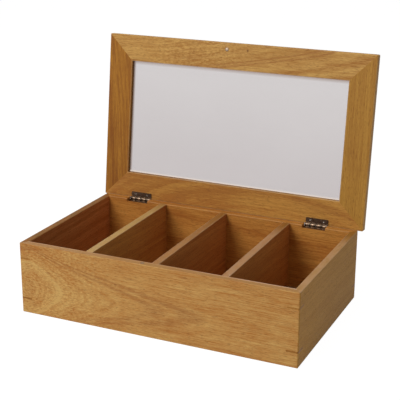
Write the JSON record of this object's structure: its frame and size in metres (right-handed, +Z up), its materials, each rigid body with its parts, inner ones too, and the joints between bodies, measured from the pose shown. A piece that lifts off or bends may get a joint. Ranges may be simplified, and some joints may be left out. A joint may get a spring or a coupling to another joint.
{
  "type": "tea bag organizer box",
  "caption": "Wooden tea bag box with open compartments side by side and a framed, clear-paned lid that swings up on small butt hinges at the back.",
  "frame": {"origin": "middle of the box's underside, on the table", "axes": "+Z up, +X to the right along the width, the front of the box towards -Y; the lid is stored open"},
  "size_m": [0.335, 0.2303, 0.2781],
  "materials": {
    "wall_timber": "satin lacquer",
    "divider_timber": "satin lacquer",
    "key_timber": "satin lacquer",
    "base_board": "satin lacquer",
    "lid_timber": "satin lacquer",
    "clear_pane": "clear",
    "hinge_steel": "nickel plated",
    "screw_steel": "nickel plated",
    "magnet": "nickel plated",
    "stud_steel": "bright"
  },
  "bodies": {
    "box": {"front_wall": "wall_timber", "back_wall": "wall_timber", "left_wall": "wall_timber", "right_wall": "wall_timber", "base_panel": "base_board", "divider_left": "divider_timber", "divider_middle": "divider_timber", "divider_right": "divider_timber", "key_front_left_lower": "key_timber", "key_front_left_upper": "key_timber", "key_front_right_lower": "key_timber", "key_front_right_upper": "key_timber", "key_back_left_lower": "key_timber", "key_back_left_upper": "key_timber", "key_back_right_lower": "key_timber", "key_back_right_upper": "key_timber", "left_hinge_box_leaf": "hinge_steel", "left_hinge_pin": "hinge_steel", "right_hinge_box_leaf": "hinge_steel", "right_hinge_pin": "hinge_steel", "box_screws": "screw_steel", "catch_magnet": "magnet"},
    "lid": {"lid_front_rail": "lid_timber", "lid_back_rail": "lid_timber", "lid_left_stile": "lid_timber", "lid_right_stile": "lid_timber", "window_pane": "clear_pane", "left_hinge_lid_leaf": "hinge_steel", "right_hinge_lid_leaf": "hinge_steel", "lid_screws": "screw_steel", "catch_stud": "stud_steel"}
  },
  "joints": [
    {"name": "lid_hinge", "type": "hinge", "parent": "box", "child": "lid", "pos_m": [0, 0.0986, 0.0803], "axis": [1, 0, 0], "range_deg": [0, 97]}
  ]
}
